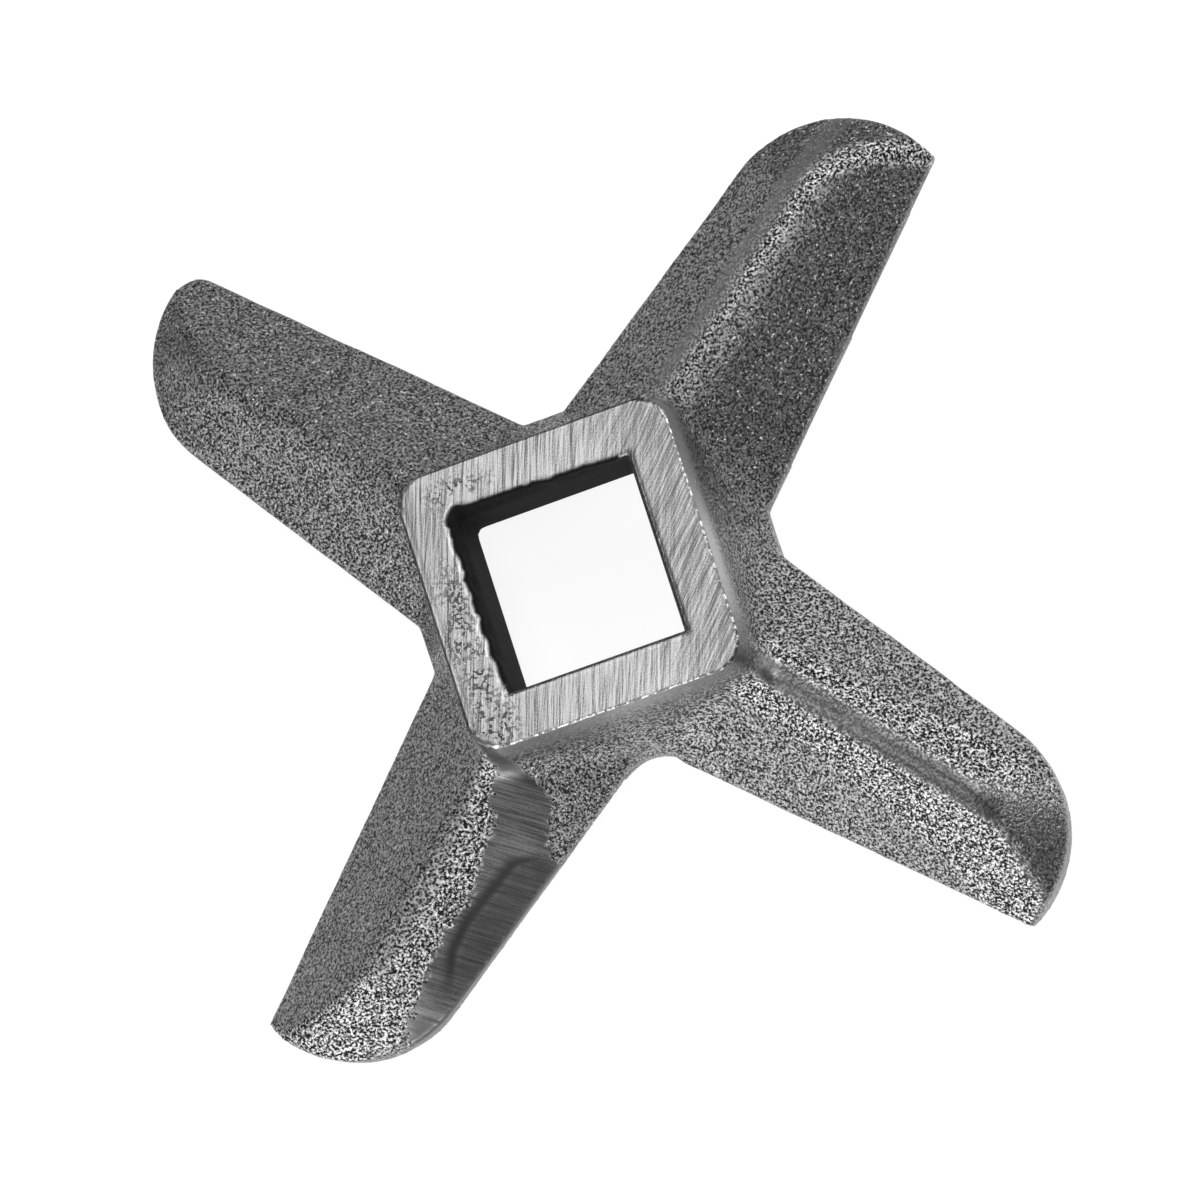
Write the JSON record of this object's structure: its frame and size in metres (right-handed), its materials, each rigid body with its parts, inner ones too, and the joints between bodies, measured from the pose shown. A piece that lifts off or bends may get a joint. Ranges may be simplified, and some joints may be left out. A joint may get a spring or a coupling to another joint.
{
  "type": "meat grinder knife",
  "caption": "Cross-shaped cast knife for a meat grinder: square hub with a square drive hole, ridged blades and ground cutting edges.",
  "frame": {"origin": "axis of the square hole in the plane of the cutting edges", "axes": "+Z along the hole's axis, from the cutting plane towards the ground face of the hub; X and Y square to the sides of the hub"},
  "size_m": [0.063, 0.063, 0.012],
  "materials": {
    "cast_steel": "shot-blasted cast skin, with a ground hub face and ground cutting lands"
  },
  "bodies": {
    "root": {"grinder_knife": "cast_steel"}
  },
  "joints": []
}
